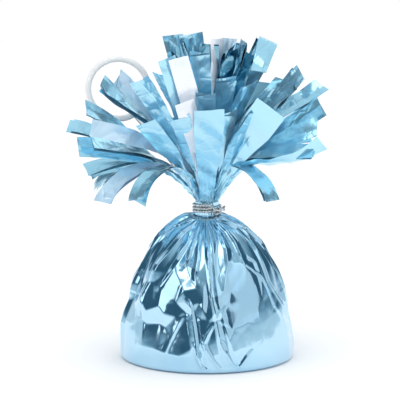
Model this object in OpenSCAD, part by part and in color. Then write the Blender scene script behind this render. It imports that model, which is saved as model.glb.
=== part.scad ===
// Balloon weight: a sand-filled plastic dome wrapped in metallic film. The film is gathered and
// tied above the dome, its ends are cut into a fringe, and a clear strap holds a tying ring.
// Millimetres, +Z up, origin at the centre of the base. The front of the object faces -Y.

/* [Weight core] */
// Height of the cup from its foot to its crown
cup_h = 49; // [42:0.5:56]
// Wall of the cup
cup_wall = 1.4; // [0.8:0.1:2.5]
// Thickness of the base disc's flange
disc_t = 1.6; // [1:0.1:2.5]
// Height of the disc's plug rim, which snaps into the cup
plug_h = 5; // [3:0.5:8]
// Wall of the plug rim
plug_wall = 1.5; // [1:0.1:2.5]
// Space left above the sand
head_space = 3; // [1:0.5:8]

/* [Foil wrap] */
// Radius of the wrapped base
base_r = 33; // [28:0.5:38]
// Space between the foot of the cup and the wrap round it
film_room = 2.1; // [1.9:0.1:3]
// Height of the neck's foot above the cup's crown
neck_rise = 5.6; // [5.2:0.1:9]
// Rounding between the underside and the side
edge_r = 2; // [1.5:0.1:2.4]
// Thickness of the film
foil_t = 0.26; // [0.2:0.02:0.4]
// Number of pleats round the wrap
pleats = 17; // [12:1:17]
// Depth of the deepest pleats
pleat_depth = 0.9; // [0.4:0.1:1.3]

/* [Neck and tie] */
// Outer radius of the gathered neck
neck_r = 4.6; // [4:0.1:5]
// Height of the neck above the shoulder
neck_h = 4.9; // [4.6:0.1:8]
// Diameter of the tie's cord
cord_d = 0.75; // [0.6:0.05:0.8]
// Turns of the tie round the neck
tie_turns = 3; // [2:1:3]
// Clear space between one turn of the tie and the next
turn_gap = 0.45; // [0.42:0.01:0.5]
// Length of the tie's twisted ends
pigtail_l = 4.6; // [4:0.2:6]

/* [Fringe] */
// Length of the fringe from the tie to the tip of a straight strip
fringe_l = 70; // [60:1:80]
// Width of a strip
strip_w = 7.4; // [5:0.2:8]
// Share of the fringe that stays uncut next to the neck
uncut_share = 0.46; // [0.4:0.02:0.55]

/* [Ring and strap] */
// Outer radius of the tying ring
ring_r = 12.5; // [11:0.5:14]
// Diameter of the ring's section
ring_d = 2.5; // [2:0.1:3]
// Width of the flat land inside the ring
land_w = 1.2; // [0.8:0.1:1.6]
// Width of the strap
strap_w = 3.5; // [3:0.5:5]
// Thickness of the strap's film
strap_t = 0.35; // [0.25:0.05:0.5]
// Distance from the strap's root to the middle of the ring's section
strap_l = 41; // [38:0.5:48]
// Lean of the strap to the left, from upright
strap_lean = 37.5; // [30:0.1:42]

/* [Hidden] */
$fn = 96;

foil_colour = [0.56, 0.79, 0.93];
clear_colour = [0.93, 0.95, 0.95, 0.6];

// The cup fits inside the wrap, and the wrap closes on the neck above the cup
cup_r = base_r - film_room;
shoulder_z = cup_h + neck_rise;

// Clearances between pieces that lie against each other
seat_gap = 0.3;
snap_gap = 0.05;
fill_gap = 0.1;
cord_gap = 0.12;
film_gap = 0.75;

// Outline of the wrapped dome: a radius at a height z, from the base to the neck
side_power = 0.6;
function wrap_r(z) =
    neck_r + (base_r - neck_r) * pow(max(0, 1 - pow(z / shoulder_z, 2)), side_power);

// Outline of the cup, a dome of the same family with a round crown
crown_power = 2;
function dome_r(r, h, z) = r * sqrt(max(0, 1 - pow(z / h, crown_power)));
dome_steps = 14;
function dome_points(r, h) =
    [for (i = [0 : dome_steps]) let (z = h * sin(90 * i / dome_steps)) [dome_r(r, h, z), z]];

cup_foot = foil_t + seat_gap;
cup_seat = cup_foot + disc_t + snap_gap;
cup_rise = cup_h - disc_t;
inner_r = cup_r - cup_wall;
inner_h = cup_rise - cup_wall;

module dome_solid(r, h) {
    rotate_extrude() polygon(concat([[0, 0]], dome_points(r, h)));
}

// Flange and snap-in plug rim that close the cup from below
module base_disc() {
    rim_r = inner_r - snap_gap - (inner_r - dome_r(inner_r, inner_h, plug_h));
    color("gainsboro") translate([0, 0, cup_foot]) {
        cylinder(r = cup_r, h = disc_t);
        difference() {
            cylinder(r = rim_r, h = disc_t + plug_h);
            translate([0, 0, disc_t]) cylinder(r = rim_r - plug_wall, h = plug_h + disc_t);
        }
    }
}

module weight_cup() {
    color("whitesmoke") translate([0, 0, cup_seat]) difference() {
        dome_solid(cup_r, cup_rise);
        dome_solid(inner_r, inner_h);
    }
}

// Sand that fills the cup above the disc, level on top
module sand_fill() {
    rim_r = dome_r(inner_r, inner_h, plug_h) - snap_gap;
    sand_r = inner_r - fill_gap;
    sand_h = inner_h - fill_gap;
    level = inner_h - head_space;
    color("burlywood") translate([0, 0, cup_seat]) {
        intersection() {
            dome_solid(sand_r, sand_h);
            translate([0, 0, plug_h + fill_gap]) cylinder(r = cup_r, h = level - plug_h);
        }
        cylinder(r = rim_r - plug_wall - fill_gap, h = plug_h + fill_gap);
    }
}

// Foil wrap: rings of points up the outside and down the inside of one pleated skin
fold_columns = 3;
columns = pleats * fold_columns;
ripple_share = 0.28;
ripple_turn = 137;
function column_angle(i) = 360 / columns * (i + ripple_share * sin(ripple_turn * i));
// A pleat is a ridge, a valley and a half-way point, deeper in some pleats than in others
fold_shares = [0, 1, 0.45];
fold_turn = 83;
function fold_share(i) =
    fold_shares[i % fold_columns]
        * (1 - ripple_share + ripple_share * sin(fold_turn * floor(i / fold_columns)));
// Folds are shallow at the foot, deepest under the shoulder and tight at the neck
foot_fold_share = 0.25;
neck_fold_share = 0.3;
fold_rise = 110;
function depth_at(z) =
    pleat_depth * (z < shoulder_z
        ? foot_fold_share + (1 - foot_fold_share) * sin(min(90, fold_rise * z / shoulder_z))
        : neck_fold_share);
// Bulges and dents of the film, each with its angle to the right of the front, its height as a share
// of the shoulder's and its depth as a share of the pleats', above 0 for a bulge
dents = [
    [-16, 0.14, 1.4], [-38, 0.15, 0.9], [14, 0.15, 1], [-4, 0.25, 0.9], [-42, 0.33, -0.8],
    [8, 0.36, -0.8], [-13, 0.42, -0.9], [-35, 0.44, 1.3], [17, 0.47, -0.7], [-19, 0.56, 1.2],
    [-14, 0.66, -0.8], [8, 0.66, -0.8], [-52, 0.55, 0.7], [30, 0.7, 0.7], [48, 0.62, -0.7],
    [58, 0.38, 0.9], [70, 0.66, 0.8], [84, 0.3, -0.8], [96, 0.52, 1.1], [112, 0.2, 0.9],
    [120, 0.62, -0.8], [138, 0.4, 1.1], [150, 0.68, 0.8], [160, 0.22, -0.7], [176, 0.5, 1],
    [-168, 0.3, 0.9], [-156, 0.6, -0.8], [-142, 0.42, 1.1], [-128, 0.2, -0.7], [-118, 0.64, 0.9],
    [-104, 0.4, -0.8], [-90, 0.56, 1.1], [-78, 0.26, 0.9], [-66, 0.46, -0.8]
];
dent_reach_share = 0.3;
function turn_between(a, b) = (a - b + 540) % 360 - 180;
function dent_at(a, z) =
    let (
        reach = base_r * dent_reach_share,
        arc = wrap_r(z) * PI / 180,
        low = min(1, z / reach),
        each_one = [for (d = dents)
            d[2] * max(0, 1 - norm([turn_between(a + 90, d[0]) * arc, z - d[1] * shoulder_z]) / reach)]
    )
    pleat_depth * low * each_one * [for (d = dents) 1];
// The film keeps its clearance from the cup wherever a dent and a pleat meet
function cup_outline(z) =
    z < cup_seat ? cup_r : dome_r(cup_r, cup_rise, min(cup_rise, z - cup_seat));
function relief_at(i, z) =
    z < shoulder_z
        ? max(cup_outline(z) + film_gap + foil_t - wrap_r(z),
            dent_at(column_angle(i), z) - depth_at(z) * fold_share(i))
        : -depth_at(z) * fold_share(i);
side_shares = [0, 0.12, 0.3, 0.49, 0.68, 0.84, 0.94, 0.985, 1];
function side_outline() = concat(
    [[base_r - edge_r, 0], [base_r - edge_r * (1 - sin(45)), edge_r * (1 - sin(45))]],
    [for (share = side_shares) let (z = edge_r + (shoulder_z - edge_r) * share) [wrap_r(z), z]],
    [[neck_r, shoulder_z + neck_h]]
);
function skin_ring(r, z, level, flat = false) = [
    for (i = [0 : columns - 1]) let (a = column_angle(i), d = r + (flat ? 0 : relief_at(i, level)))
        [d * cos(a), d * sin(a), z]
];
module foil_wrap() {
    outline = side_outline();
    last = len(outline) - 1;
    outer = [for (k = [0 : last]) let (p = outline[k]) skin_ring(p[0], p[1], p[1], k == 0)];
    inner = [
        for (k = [0 : last]) let (p = outline[k])
            skin_ring(p[0] - foil_t, max(p[1] - foil_t * (k < last ? p[1] / shoulder_z : 0), foil_t),
                p[1], k == 0)
    ];
    rings = concat(outer, [for (k = [last : -1 : 0]) inner[k]]);
    points = concat([for (ring = rings) each ring], [[0, 0, 0], [0, 0, foil_t]]);
    count = len(rings);
    foot = count * columns;
    color(foil_colour) polyhedron(points, concat(
        [for (k = [0 : count - 2]) for (i = [0 : columns - 1]) let (j = (i + 1) % columns)
            each [
                [k * columns + i, (k + 1) * columns + i, (k + 1) * columns + j],
                [k * columns + i, (k + 1) * columns + j, k * columns + j]
            ]],
        [for (i = [0 : columns - 1]) let (j = (i + 1) % columns) [foot, i, j]],
        [for (i = [0 : columns - 1]) let (j = (i + 1) % columns)
            [foot + 1, (count - 1) * columns + j, (count - 1) * columns + i]]
    ));
}

// Small vector helpers
function unit(v) = v / norm(v);
function turned(v, axis, a) =
    v * cos(a) + cross(axis, v) * sin(a) + axis * (axis * v) * (1 - cos(a));

// A closed tube or ribbon through rings of points, with flat ends. Opposite side faces are split
// along the same diagonal: a ribbon keeps its thickness, and ribbons side by side share their edges.
module skinned(rings) {
    n = len(rings[0]);
    last = len(rings) - 1;
    polyhedron([for (ring = rings) each ring], concat(
        [[for (i = [n - 1 : -1 : 0]) i]],
        [for (k = [0 : last - 1]) for (i = [0 : n - 1]) let (j = (i + 1) % n, a = k * n, b = a + n)
            each i < n / 2
                ? [[a + i, a + j, b + j], [a + i, b + j, b + i]]
                : [[a + i, a + j, b + i], [a + j, b + j, b + i]]],
        [[for (i = [0 : n - 1]) last * n + i]]
    ));
}

// Neck tie: one cord wound round the neck, its two ends twisted together at the front right
cord_sides = 6;
turn_steps = 24;
wind_r = neck_r + cord_gap + cord_d / 2;
wind_pitch = cord_d + turn_gap;
wind_z = shoulder_z + cord_gap + cord_d / 2;
knot_angle = -68;
knot_lift = 0.55;
knot_reach = 2.26;
twist_r = 0.62;
tail_steps = 14;
tail_turns = 0.87;
tail_phase = 310.7;
lead_steps = [0.2, 0.4, 0.6, 0.8];
lead_reach = 0.54;
lead_start_share = 0.65;
lead_end_share = 0.27;
knot_out = [cos(knot_angle), sin(knot_angle), 0];
knot_side = [-sin(knot_angle), cos(knot_angle), 0];
// The twisted ends stick out, to the right and a little up
tail_lean = [0.78, 0.24];
tail_axis = unit(knot_out + knot_side * tail_lean[0] + [0, 0, tail_lean[1]]);
tail_across = unit(cross(tail_axis, [0, 0, 1]));
tail_up = cross(tail_axis, tail_across);
knot_start = knot_out * (wind_r + knot_reach)
    + [0, 0, wind_z + wind_pitch * tie_turns / 2 + knot_lift];
function wound(i) = let (a = knot_angle + 360 * i / turn_steps)
    [wind_r * cos(a), wind_r * sin(a), wind_z + wind_pitch * i / turn_steps];
function tail_point(u, half_turn) = let (a = tail_phase + half_turn + 360 * tail_turns * u)
    knot_start + tail_axis * pigtail_l * u + (tail_across * cos(a) + tail_up * sin(a)) * twist_r;
// A lead is a curve from a turn's end outwards to the start of its tail
function lead_point(p, p_dir, q, q_dir, u) =
    let (h = norm(q - p), a = p + p_dir * h * lead_start_share, b = q - q_dir * h * lead_end_share)
    p * pow(1 - u, 3) + a * 3 * u * pow(1 - u, 2) + b * 3 * u * u * (1 - u) + q * pow(u, 3);
function outwards(p, dir) = unit(unit(dir) + unit([p[0], p[1], 0]) * lead_reach);
function tie_path() =
    let (end = tie_turns * turn_steps - 1, first = wound(1), last = wound(end),
        back = outwards(first, wound(0) - wound(2)),
        ahead = outwards(last, wound(end + 1) - wound(end - 1)),
        low = tail_point(0, 180), high = tail_point(0, 0))
    concat(
        [for (i = [tail_steps : -1 : 0]) tail_point(i / tail_steps, 180)],
        [for (i = [len(lead_steps) - 1 : -1 : 0])
            lead_point(first, back, low, tail_axis, lead_steps[i])],
        [for (i = [1 : end]) wound(i)],
        [for (u = lead_steps) lead_point(last, ahead, high, tail_axis, u)],
        [for (i = [0 : tail_steps]) tail_point(i / tail_steps, 0)]
    );
function path_normals(path, i, n) =
    i >= len(path) ? [] :
    let (t = unit(path[min(i + 1, len(path) - 1)] - path[max(i - 1, 0)]), m = unit(n - t * (t * n)))
    concat([m], path_normals(path, i + 1, m));
function tube_rings(path, d) =
    let (normals = path_normals(path, 0, [0, 0.1, 1]))
    [for (i = [0 : len(path) - 1])
        let (t = unit(path[min(i + 1, len(path) - 1)] - path[max(i - 1, 0)]), m = normals[i])
        [for (s = [0 : cord_sides - 1]) path[i] + turned(m, t, 360 * s / cord_sides) * d / 2]];
// Least clear space between parts of the cord that lie more than three diameters apart along it
near_share = 3;
function lengths(path, i, sum) =
    i >= len(path) ? [] :
    let (s = sum + (i == 0 ? 0 : norm(path[i] - path[i - 1]))) concat([s], lengths(path, i + 1, s));
function least_gap(path) = let (s = lengths(path, 0, 0)) min([
    for (i = [0 : len(path) - 1]) for (j = [i + 1 : 1 : len(path) - 1])
        if (s[j] - s[i] > near_share * cord_d) norm(path[i] - path[j]) - cord_d
]);
module neck_tie() {
    path = tie_path();
    echo(least_gap_of_the_tie = least_gap(path));
    color("silver") skinned(tube_rings(path, cord_d));
}

// Fringe: each tuft is one gathered pleat of the film, cut into strips
root_share = 0.2;
root_z = shoulder_z + root_share * neck_h;
fringe_z = shoulder_z + neck_h;
root_gap = 0.83;
tier_gap = 1.05;
tier_r = [for (i = [0 : 2]) neck_r - root_gap - i * tier_gap];
// Height of a curve's first handle and length of its last one, as shares of the fringe's length
rise_shares = [0.09, 0.2, 0.3];
handle_share = 0.34;
panel_steps = 4;
strip_steps = 6;
full_width_turns = 2.5;
step_share = 0.01;
// A strip is [x, y and height of its tip as shares of the fringe's length, slope of its tip above
// the horizon, twist of its tip]. A strip that folds over at its tip has the length that hangs down as
// a sixth value, a share of the fringe's length. A tuft is [tier, root angle, root angle between
// strips, strips]. Tier 0 is the outermost.
left_tuft = [0, 194, 8, [
    [-0.65, 0, 0.17, -20, -45], [-0.69, -0.05, 0.3, 2, -55], [-0.74, -0.1, 0.42, 12, -50],
    [-0.64, -0.17, 0.53, 25, -40]]];
left_low_tuft = [0, 231, 9, [
    [-0.6, -0.33, 0.365, 10, -40], [-0.55, -0.38, 0.055, -60, -20],
    [-0.37, -0.44, 0.075, -80, 0], [-0.32, -0.48, 0.485, 40, 30]]];
front_tuft = [0, 269, 12, [
    [-0.14, -0.4, 0.51, 50, 15], [-0.01, -0.42, 0.62, 60, 0], [0.11, -0.4, 0.53, 50, 15]]];
right_low_tuft = [0, 307, 9, [
    [0.27, -0.43, 0.53, 42, 10], [0.36, -0.42, 0.55, 40, 0], [0.34, -0.38, 0.06, -70, 0],
    [0.56, -0.32, 0.32, 8, 40]]];
right_tuft = [0, 345, 9, [
    [0.585, -0.098, 0.42, 22, 60], [0.615, 0, 0.51, 35, 60], [0.545, 0.078, 0.47, 30, 54],
    [0.554, 0.185, 0.34, 5, 36]]];
back_right_tuft = [0, 23, 9, [
    [0.54, 0.28, 0.26, 0, 30], [0.48, 0.38, 0.15, -25, 10], [0.38, 0.47, 0.32, 10, 20],
    [0.3, 0.52, 0.19, -20, 0]]];
back_tuft = [0, 61, 9, [
    [0.2, 0.56, 0.3, 0, 0], [0.11, 0.602, 0.15, -30, 0], [0.029, 0.601, 0.23, -10, 10],
    [-0.061, 0.598, 0.07, -50, 0]]];
back_left_tuft = [0, 165, 6, [
    [-0.571, 0.19, 0, -70, 0], [-0.616, 0.169, 0.05, -55, -10],
    [-0.594, 0.122, 0.08, -45, -20], [-0.633, 0.088, 0.14, -30, -35]]];
mid_left_tuft = [1, 186, 17, [
    [-0.56, -0.06, 0.655, 42, -45], [-0.47, -0.15, 0.685, 45, -40],
    [-0.36, -0.22, 0.675, 52, 45]]];
mid_front_left_tuft = [1, 242, 17, [
    [-0.24, -0.32, 0.72, 55, 0], [-0.14, -0.34, 0.78, 62, 0], [-0.04, -0.28, 0.83, 70, 0]]];
mid_front_right_tuft = [1, 298, 17, [
    [0.1, -0.3, 0.7, 60, 0], [0.22, -0.32, 0.66, 52, 10], [0.32, -0.28, 0.63, 45, 15]]];
mid_right_tuft = [1, 354, 17, [
    [0.46, -0.16, 0.64, 45, 35], [0.5, -0.02, 0.7, 50, 50], [0.62, 0.08, 0.62, 35, 50]]];
mid_back_tuft = [1, 50, 17, [
    [0.42, 0.24, 0.63, 45, 30], [0.3, 0.34, 0.61, 45, 10], [0.16, 0.4, 0.64, 50, 0]]];
top_left_tuft = [2, 180, 36, [
    [-0.073, 0.147, 0.86, 75, 16], [-0.174, 0.054, 0.88, 80, -24],
    [-0.127, -0.063, 0.87, 75, -16]]];
top_middle_tuft = [2, 300, 36, [
    [0.01, -0.14, 0.85, 80, 0], [0.12, -0.12, 0.84, 75, 10], [0.2, -0.05, 0.86, 75, 30]]];
top_right_tuft = [2, 60, 36, [
    [0.316, 0.058, 0.83, 65, 70, 0.18], [0.169, 0.15, 0.83, 75, 16], [0.05, 0.216, 0.83, 80, 0]]];

function mean(list) = list * [for (v = list) 1] / len(list);
function root_angle(tuft, k) = tuft[1] + tuft[2] * (k - (len(tuft[3]) - 1) / 2);
function tip_angle(tuft, k) =
    let (a = atan2(tuft[3][k][1], tuft[3][k][0])) a + 360 * round((tuft[1] - a) / 360);
// Angle of a strip's middle, and of its two edges, where the film is still uncut. u runs from the
// neck to the cut.
function middle_angle(tuft, k, u) = root_angle(tuft, k) * (1 - u) + tip_angle(tuft, k) * u;
function edge_angle(tuft, k, side, u) =
    let (a = middle_angle(tuft, k, u), other = k + side)
    other < 0 || other >= len(tuft[3])
        ? a + (a - middle_angle(tuft, k - side, u)) / 2
        : (a + middle_angle(tuft, other, u)) / 2;
// Radius and height along the tuft's mean strip
function profile(tuft, t) =
    let (strips = tuft[3], slope = mean([for (strip = strips) strip[3]]),
        p = [tier_r[tuft[0]], fringe_z],
        q = [mean([for (strip = strips) norm([strip[0], strip[1]])]) * fringe_l,
            fringe_z + mean([for (strip = strips) strip[2]]) * fringe_l],
        a = p + [0, fringe_l * rise_shares[tuft[0]]],
        b = q - [cos(slope), sin(slope)] * fringe_l * handle_share)
    p * pow(1 - t, 3) + a * 3 * t * pow(1 - t, 2) + b * 3 * t * t * (1 - t) + q * pow(t, 3);
function profile_direction(tuft, t) =
    t == 0 ? [0, 1] : unit(profile(tuft, t + step_share) - profile(tuft, t - step_share));
function round_neck(rz, angle) = [rz[0] * cos(angle), rz[0] * sin(angle), rz[1]];
// Four corners of a strip's section. The uncut part shares its edges with the strips beside it.
function uncut_section(tuft, k, u) =
    let (t = uncut_share * u, rz = profile(tuft, t), d = profile_direction(tuft, t),
        n = [-d[1], d[0]] * foil_t / 2,
        l = edge_angle(tuft, k, -1, u), r = edge_angle(tuft, k, 1, u))
    [round_neck(rz + n, l), round_neck(rz + n, r), round_neck(rz - n, r), round_neck(rz - n, l)];
// The cut strip leaves the film in the film's own direction and curves to its tip
function strip_line(tuft, k, u) =
    let (strip = tuft[3][k], cut = uncut_section(tuft, k, 1), c = (cut[0] + cut[2]) / 2,
        q = [strip[0] * fringe_l, strip[1] * fringe_l, fringe_z + strip[2] * fringe_l],
        reach = norm(q - c) * handle_share,
        a = c + round_neck(profile_direction(tuft, uncut_share), tip_angle(tuft, k)) * reach,
        b = q - round_neck([cos(strip[3]), sin(strip[3])], tip_angle(tuft, k)) * reach)
    c * pow(1 - u, 3) + a * 3 * u * pow(1 - u, 2) + b * 3 * u * u * (1 - u) + q * pow(u, 3);
function strip_section(tuft, k, u) =
    let (cut = uncut_section(tuft, k, 1), start = norm(cut[1] - cut[0]), c = strip_line(tuft, k, u),
        d = unit(strip_line(tuft, k, min(1, u + step_share)) - strip_line(tuft, k, u - step_share)),
        across = cut[1] - cut[0], flat = unit(across - d * (d * across)),
        w = turned(flat, d, tuft[3][k][4] * sin(90 * u)),
        half = (start + (strip_w - start) * min(1, full_width_turns * u)) / 2,
        n = cross(d, w) * foil_t / 2)
    [c - w * half + n, c + w * half + n, c + w * half - n, c - w * half - n];
// Beyond the tip of a folded strip the film rolls over towards the front and hangs down
roll_r_share = 0.035;
roll_turn = 150;
roll_steps = 3;
function folded_section(tuft, k, i) =
    let (tip = strip_section(tuft, k, 1), c = (tip[0] + tip[2]) / 2,
        w = unit(tip[1] - tip[0]), n = unit(tip[1] - tip[2]), d = cross(w, n),
        side = n[1] < 0 ? 1 : -1, r = fringe_l * roll_r_share,
        a = roll_turn * min(i, roll_steps) / roll_steps,
        way = d * cos(a) + n * side * sin(a),
        hang = i > roll_steps ? tuft[3][k][5] * fringe_l : 0,
        q = c + n * side * r * (1 - cos(a)) + d * r * sin(a) + way * hang,
        half = w * strip_w / 2, m = (n * cos(a) - d * side * sin(a)) * foil_t / 2)
    [q - half + m, q + half + m, q + half - m, q - half - m];
module tuft(data) {
    color(foil_colour) for (k = [0 : len(data[3]) - 1]) skinned(concat(
        [[for (p = uncut_section(data, k, 0)) p - [0, 0, fringe_z - root_z]]],
        [for (i = [0 : panel_steps]) uncut_section(data, k, i / panel_steps)],
        [for (i = [1 : strip_steps]) strip_section(data, k, i / strip_steps)],
        [if (len(data[3][k]) > 5) for (i = [1 : roll_steps + 1]) folded_section(data, k, i)]
    ));
}

// Ring and strap. Both are drawn upright at the strap's root and leaned over together.
strap_lift = 0.55;
strap_root = [-1.6, neck_r + strap_t, fringe_z + strap_lift];
ring_mid_r = ring_r - ring_d / 2;
loop_r = ring_d / 2 + seat_gap + strap_w * strap_w / (8 * ring_mid_r);
loop_length = 3 * loop_r;
// The strap is pinched at its foot and has its full width above that
foot_w = 2;
pinch_l = 12;
module leaned() {
    translate(strap_root) rotate([0, -strap_lean, 0]) children();
}
module tying_ring() {
    land_x = ring_mid_r - sqrt(pow(ring_d / 2, 2) - pow(land_w / 2, 2));
    color(clear_colour) leaned() translate([0, 0, strap_l + ring_mid_r]) rotate([90, 0, 0])
        rotate_extrude() intersection() {
            translate([ring_mid_r, 0]) circle(d = ring_d, $fn = 40);
            translate([land_x, -ring_d]) square([2 * ring_d, 2 * ring_d]);
        }
}
// The strap is a doubled film: two legs that lie together and a round loop at the top
module strap_outline(grow) {
    hull() {
        translate([0, strap_l]) circle(r = loop_r + grow, $fn = 32);
        translate([0, strap_l - loop_length]) circle(r = strap_t + grow, $fn = 32);
    }
}
module ring_strap() {
    color(clear_colour) leaned() {
        rotate([90, 0, 90]) translate([0, 0, -strap_w / 2]) linear_extrude(strap_w) difference() {
            strap_outline(strap_t);
            strap_outline(0);
        }
        rotate([90, 0, 0]) translate([0, 0, -strap_t]) linear_extrude(2 * strap_t)
            polygon([
                [-foot_w / 2, 0], [foot_w / 2, 0], [strap_w / 2, pinch_l],
                [strap_w / 2, strap_l - loop_length], [-strap_w / 2, strap_l - loop_length],
                [-strap_w / 2, pinch_l]
            ]);
    }
}

base_disc();
weight_cup();
sand_fill();
foil_wrap();
neck_tie();
ring_strap();
tying_ring();
tuft(left_tuft);  // fringe_left
tuft(left_low_tuft);  // fringe_left_low
tuft(front_tuft);  // fringe_front
tuft(right_low_tuft);  // fringe_right_low
tuft(right_tuft);  // fringe_right
tuft(back_right_tuft);  // fringe_back_right
tuft(back_tuft);  // fringe_back
tuft(back_left_tuft);  // fringe_back_left
tuft(mid_left_tuft);  // fringe_mid_left
tuft(mid_front_left_tuft);  // fringe_mid_front_left
tuft(mid_front_right_tuft);  // fringe_mid_front_right
tuft(mid_right_tuft);  // fringe_mid_right
tuft(mid_back_tuft);  // fringe_mid_back
tuft(top_left_tuft);  // fringe_top_left
tuft(top_middle_tuft);  // fringe_top_middle
tuft(top_right_tuft);  // fringe_top_right
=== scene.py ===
# Balloon weight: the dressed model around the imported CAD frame.
# Lengths in the shape code are in millimetres and turn into metres when a mesh is made.
import math

import bmesh
import bpy
import numpy as np
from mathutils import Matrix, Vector
from mathutils.geometry import delaunay_2d_cdt


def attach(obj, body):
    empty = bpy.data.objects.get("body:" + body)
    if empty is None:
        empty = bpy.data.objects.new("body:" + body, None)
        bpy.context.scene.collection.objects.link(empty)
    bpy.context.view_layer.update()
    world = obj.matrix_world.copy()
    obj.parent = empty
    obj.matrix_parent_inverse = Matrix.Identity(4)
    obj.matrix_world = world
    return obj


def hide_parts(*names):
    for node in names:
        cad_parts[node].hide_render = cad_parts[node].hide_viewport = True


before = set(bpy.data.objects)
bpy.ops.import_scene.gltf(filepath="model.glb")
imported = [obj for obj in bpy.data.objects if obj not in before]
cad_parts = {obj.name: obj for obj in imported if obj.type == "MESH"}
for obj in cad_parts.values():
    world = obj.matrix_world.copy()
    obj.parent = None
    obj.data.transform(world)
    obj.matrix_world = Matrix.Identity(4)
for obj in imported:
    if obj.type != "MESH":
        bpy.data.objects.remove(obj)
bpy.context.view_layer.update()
scene = bpy.context.scene
MM = 0.001

# Sizes that part.scad names too
BASE_R, EDGE_R, SHOULDER_Z, NECK_R, NECK_H = 33.0, 2.0, 54.6, 4.6, 4.9
SIDE_POWER = 0.6
FRINGE_Z = SHOULDER_Z + NECK_H
FRINGE_L, STRIP_W, UNCUT_SHARE = 70.0, 7.4, 0.46
TIER_R = (3.77, 2.72, 1.67)
RISE_SHARES = (0.09, 0.2, 0.3)
HANDLE_SHARE = 0.34
CORD_D, CORD_GAP, TURN_GAP, TIE_TURNS, PIGTAIL_L = 0.75, 0.12, 0.45, 3, 4.6

# Sizes of the dressed model alone
WRAP_T, STRIP_T, WRAP_Z, FLOOR_Z = 0.06, 0.05, 0.06, -0.02
# Scale of the photograph, for the shapes read from it: the axis and the floor there in pixels,
# millimetres for each pixel across and up, and how far a millimetre of depth rises in it
AXIS_X, FLOOR_Y, MM_ACROSS, MM_UP, DEPTH_RISE = 207.0, 357.0, 0.377, 0.3816, 0.158


# camera
def aim(obj, target):
    way = Vector(target) - obj.location
    obj.rotation_mode = "QUATERNION"
    obj.rotation_quaternion = way.to_track_quat("-Z", "Y")


ELEVATION = math.radians(9.0)
DISTANCE, VIEW_W, SENSOR_W = 0.9, 0.1508, 36.0
TARGET = (-0.00264, 0.0, 0.0599)
camera = bpy.data.objects.new("camera", bpy.data.cameras.new("camera"))
scene.collection.objects.link(camera)
AWAY, ABOVE = DISTANCE * math.cos(ELEVATION), DISTANCE * math.sin(ELEVATION)
camera.location = (TARGET[0], TARGET[1] - AWAY, TARGET[2] + ABOVE)
aim(camera, TARGET)
camera.data.sensor_width = SENSOR_W
camera.data.lens = SENSOR_W * DISTANCE / VIEW_W
camera.data.clip_start = 0.01
camera.data.clip_end = 20.0
scene.camera = camera


# materials
def add(tree, kind, **values):
    """A node with values for its inputs, or for its settings."""
    node = tree.nodes.new(kind)
    for key, value in values.items():
        if key in node.inputs:
            node.inputs[key].default_value = value
        else:
            setattr(node, key, value)
    return node


def ramp(tree, value, stops):
    """A colour or a grey level for a value, between stops."""
    node = tree.nodes.new("ShaderNodeValToRGB")
    points = node.color_ramp.elements
    while len(points) < len(stops):
        points.new(0.5)
    for point, (place, level) in zip(points, stops):
        point.position = place
        point.color = (*level, 1.0) if hasattr(level, "__len__") else (level, level, level, 1.0)
    tree.links.new(value, node.inputs["Fac"])
    return node.outputs["Color"]


class Surface:
    """A material. Its textures go by the place in the scene, and each bump lies over the last."""

    def __init__(self, name, **values):
        self.mat = bpy.data.materials.new(name)
        self.mat.use_nodes = True
        self.tree = self.mat.node_tree
        self.link = self.tree.links.new
        self.bsdf = self.tree.nodes["Principled BSDF"]
        self.normal = None
        for key, value in values.items():
            self.bsdf.inputs[key.replace("_", " ")].default_value = value

    def texture(self, kind, output, **values):
        node = add(self.tree, kind, **values)
        place = add(self.tree, "ShaderNodeNewGeometry")
        self.link(place.outputs["Position"], node.inputs["Vector"])
        return node.outputs[output]

    def noise(self, scale, detail):
        return self.texture("ShaderNodeTexNoise", "Fac", Scale=scale, Detail=detail)

    def vary(self, name, value, stops):
        self.link(ramp(self.tree, value, stops), self.bsdf.inputs[name])

    def bump(self, height, strength, distance):
        node = add(self.tree, "ShaderNodeBump", Strength=strength, Distance=distance)
        self.link(height, node.inputs["Height"])
        if self.normal is not None:
            self.link(self.normal, node.inputs["Normal"])
        self.normal = node.outputs["Normal"]
        self.link(self.normal, self.bsdf.inputs["Normal"])


def foil(name, light, deep, rough, waves, creases, metal=1.0):
    """Metallised film under a clear lacquer, with waves, fine creases and a faint uneven tint."""
    film = Surface(name, Metallic=metal, Coat_Weight=0.6, Coat_Roughness=0.06)
    film.vary("Base Color", film.noise(60.0, 3.0), [(0.3, deep), (0.7, light)])
    film.vary("Roughness", film.noise(240.0, 2.0), [(0.35, rough[0]), (0.75, rough[1])])
    edges = film.texture("ShaderNodeTexVoronoi", "Distance", Scale=150.0, feature="DISTANCE_TO_EDGE")
    film.bump(ramp(film.tree, edges, [(0.0, 0.0), (0.1, 1.0)]), creases, 0.0001)
    film.bump(film.noise(260.0, 1.0), waves, 0.0003)
    return film.mat


FOIL = foil("blue_foil", (0.49, 0.735, 0.90), (0.42, 0.69, 0.88), (0.08, 0.16), 0.06, 0.024)
STRIP_FOIL = foil(
    "blue_foil_strips", (0.48, 0.80, 0.95), (0.41, 0.76, 0.93), (0.17, 0.25), 0.03, 0.35, 0.78)
# The next two foils are paler copies of the strip foil: painted highlight where strips catch the light
PAINTED_HIGHLIGHT_FOIL = foil("painted_highlight_foil", (0.93, 0.95, 1.0), (0.85, 0.91, 0.99), (0.2, 0.3), 0.03, 0.35, 0.35)
PAINTED_SOFT_HIGHLIGHT_FOIL = foil("painted_soft_highlight_foil", (0.66, 0.84, 0.98), (0.58, 0.79, 0.96), (0.18, 0.28), 0.03, 0.35, 0.6)
# A darker copy of the foil: painted shade for strips in the shaded inside of the plume
PAINTED_SHADE_FOIL = foil("painted_shade_foil", (0.20, 0.43, 0.55), (0.15, 0.36, 0.48), (0.10, 0.18), 0.05, 0.02)


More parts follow.
